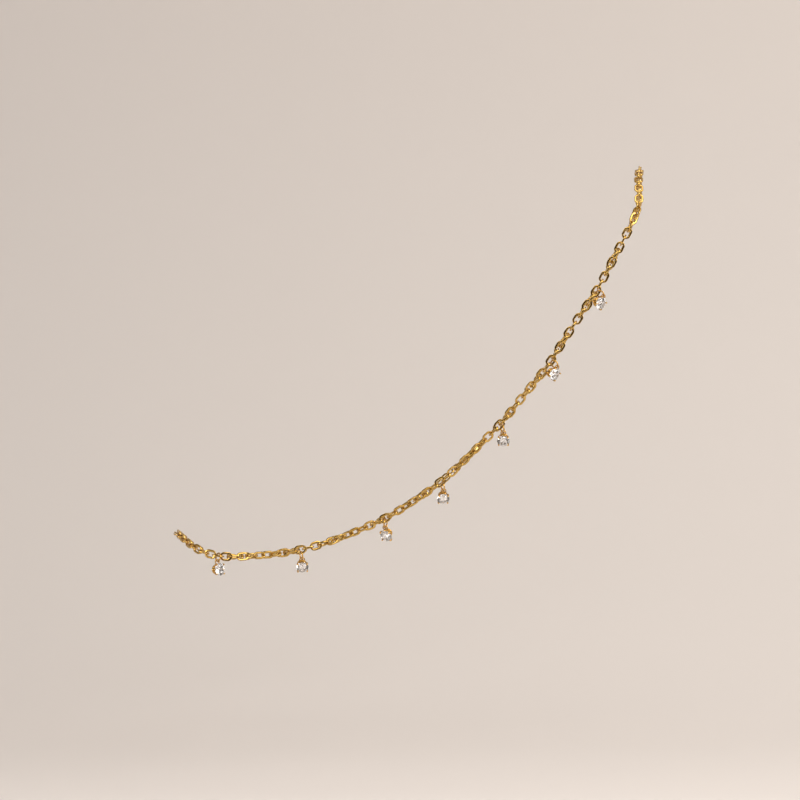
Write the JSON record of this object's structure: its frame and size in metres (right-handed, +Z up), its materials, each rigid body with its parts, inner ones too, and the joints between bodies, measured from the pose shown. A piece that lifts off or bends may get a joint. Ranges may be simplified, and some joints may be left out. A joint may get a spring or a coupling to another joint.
{
  "type": "pendant choker necklace",
  "caption": "Fine gold cable chain choker with small round clear stones in claw settings, hung from jump rings along its front, and a plain spring ring clasp.",
  "frame": {"origin": "on the chain, in the bend at the upper right of the front run, where the chain hangs", "axes": "+Z up; the front run faces -Y and runs from lower left to upper right along +X; the loop passes behind it towards +Y"},
  "size_m": [0.0939, 0.0791, 0.0786],
  "materials": {
    "gold": "polished yellow gold",
    "stone": "clear faceted round brilliant"
  },
  "bodies": {
    "root": {"chain_front": "gold", "chain_back_left": "gold", "chain_back_right": "gold", "clasp": "gold", "drop_1_ring": "gold", "drop_1_setting": "gold", "drop_1_stone": "stone", "drop_2_ring": "gold", "drop_2_setting": "gold", "drop_2_stone": "stone", "drop_3_ring": "gold", "drop_3_setting": "gold", "drop_3_stone": "stone", "drop_4_ring": "gold", "drop_4_setting": "gold", "drop_4_stone": "stone", "drop_5_ring": "gold", "drop_5_setting": "gold", "drop_5_stone": "stone", "drop_6_ring": "gold", "drop_6_setting": "gold", "drop_6_stone": "stone", "drop_7_ring": "gold", "drop_7_setting": "gold", "drop_7_stone": "stone"}
  },
  "joints": []
}
